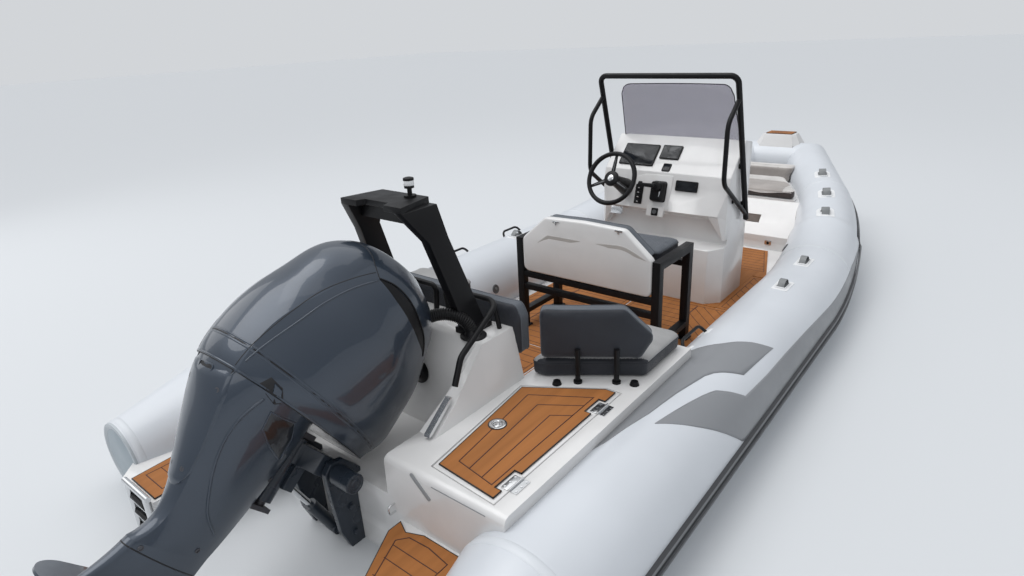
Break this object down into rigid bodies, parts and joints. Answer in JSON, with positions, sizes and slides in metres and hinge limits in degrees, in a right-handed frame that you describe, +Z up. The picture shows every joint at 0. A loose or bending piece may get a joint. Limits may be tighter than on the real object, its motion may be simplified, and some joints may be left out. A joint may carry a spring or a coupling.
{
  "type": "rigid inflatable boat",
  "caption": "Open rigid inflatable boat with steering console, helm seat, stern lockers and a raised outboard motor.",
  "frame": {"origin": "on the centreline at the transom's outer face, at the waterline", "axes": "+X to starboard, +Y forward to the bow, +Z up"},
  "size_m": [2.412, 6.5434, 1.809],
  "materials": {
    "arch_paint": "satin black",
    "black_frame": "satin black powder coat",
    "black_plastic": "black",
    "bracket_paint": "dark blue-grey",
    "cowl_paint": "glossy metallic dark blue-grey",
    "cushion_dark": "dark grey vinyl",
    "cushion_light": "taupe and light grey vinyl",
    "deck_foam": "teak-look foam sheet with dark lines",
    "engine_metal": "cast",
    "glass": "smoked",
    "moulding": "white gelcoat",
    "steel": "polished stainless",
    "strake_rubber": "ribbed black",
    "tube_cap": "grey-blue",
    "tube_fabric": "pale grey coated fabric, satin"
  },
  "bodies": {
    "boat": {"aft_seat_cushions": "cushion_light", "arch": "arch_paint", "backrest_centre": "cushion_dark", "backrest_posts": "black_frame", "bow_back_cushion": "cushion_light", "bow_locker": "moulding", "bow_step": "moulding", "bow_step_pad": "deck_foam", "clamp_bracket": "bracket_paint", "cockpit_sole": "moulding", "console": "moulding", "console_frame": "black_frame", "dash_panels": "black_plastic", "deck_fittings": "steel", "grab_rails": "black_frame", "helm_back_cushion": "cushion_dark", "helm_back_shell": "moulding", "helm_seat_cushion": "cushion_dark", "helm_seat_frame": "black_frame", "hull": "moulding", "lid_hinges": "steel", "platform_pads": "deck_foam", "rub_strakes": "strake_rubber", "side_backrests": "cushion_dark", "sole_panels": "deck_foam", "steering_column": "black_plastic", "stern_light": "black_plastic", "stern_moulding": "moulding", "throttle": "black_plastic", "tube_bow": "tube_fabric", "tube_end_caps": "tube_cap", "tube_handles": "black_plastic", "tube_port": "tube_fabric", "tube_starboard": "tube_fabric", "windshield": "glass"},
    "starboard_lid": {"stern_lid_starboard": "moulding", "lid_pad_starboard": "deck_foam"},
    "port_lid": {"stern_lid_port": "moulding", "lid_pad_port": "deck_foam"},
    "bow_lid": {"bow_seat_cushion": "cushion_light", "bow_lid_board": "moulding"},
    "wheel": {"steering_wheel": "black_plastic"},
    "ladder": {"boarding_ladder": "steel"},
    "swivel": {"swivel_bracket": "bracket_paint"},
    "motor": {"steering_pin": "engine_metal", "cowl_top": "cowl_paint", "cowl_lower": "cowl_paint", "engine_block": "engine_metal", "midsection": "cowl_paint", "gearcase": "cowl_paint"},
    "screw": {"propeller": "bracket_paint"},
    "trim_barrel": {"trim_cylinder": "bracket_paint"},
    "trim_piston": {"trim_rod": "steel"}
  },
  "joints": [
    {"name": "outboard_tilt", "type": "hinge", "parent": "boat", "child": "swivel", "pos_m": [0, -0.08, 0.36], "axis": [1, 0, 0], "range_deg": [0, 54]},
    {"name": "outboard_steer", "type": "hinge", "parent": "swivel", "child": "motor", "pos_m": [0, -0.15713, 0.45193], "axis": [0, 0.766, 0.6428], "range_deg": [-30, 30]},
    {"name": "propeller_spin", "type": "hinge", "parent": "motor", "child": "screw", "pos_m": [0, -1.01832, 0.30368], "axis": [0, 0.6428, -0.766], "continuous": true},
    {"name": "trim_swing", "type": "hinge", "parent": "boat", "child": "trim_barrel", "pos_m": [0, -0.046, 0.022], "axis": [1, 0, 0], "range_deg": [-4.3, 0.1]},
    {"name": "trim_stroke", "type": "slide", "parent": "trim_barrel", "child": "trim_piston", "axis": [0, -0.4523, 0.8919], "range_m": [-0.1162, 0.0001]},
    {"name": "wheel_turn", "type": "hinge", "parent": "boat", "child": "wheel", "pos_m": [-0.201, 2.438, 0.907], "axis": [0, -0.8988, 0.4384], "range_deg": [-720, 720]},
    {"name": "starboard_lid_hinge", "type": "hinge", "parent": "boat", "child": "starboard_lid", "pos_m": [0.7995, 0.4, 0.4725], "axis": [0, 1, 0], "range_deg": [0, 85]},
    {"name": "port_lid_hinge", "type": "hinge", "parent": "boat", "child": "port_lid", "pos_m": [-0.7995, 0.4, 0.4725], "axis": [0, -1, 0], "range_deg": [0, 85]},
    {"name": "bow_lid_hinge", "type": "hinge", "parent": "boat", "child": "bow_lid", "pos_m": [0, 4.597, 0.4695], "axis": [-1, 0, 0], "range_deg": [0, 80]},
    {"name": "ladder_fold", "type": "hinge", "parent": "boat", "child": "ladder", "pos_m": [0, -0.512, 0.237], "axis": [-1, 0, 0], "range_deg": [0, 180]}
  ],
  "couplings": [
    {"joint": "trim_swing", "follows": "outboard_tilt", "ratio": -0.075},
    {"joint": "trim_stroke", "follows": "outboard_tilt", "m_per_rad": -0.1226},
    {"joint": "wheel_turn", "follows": "outboard_steer", "ratio": 24}
  ]
}
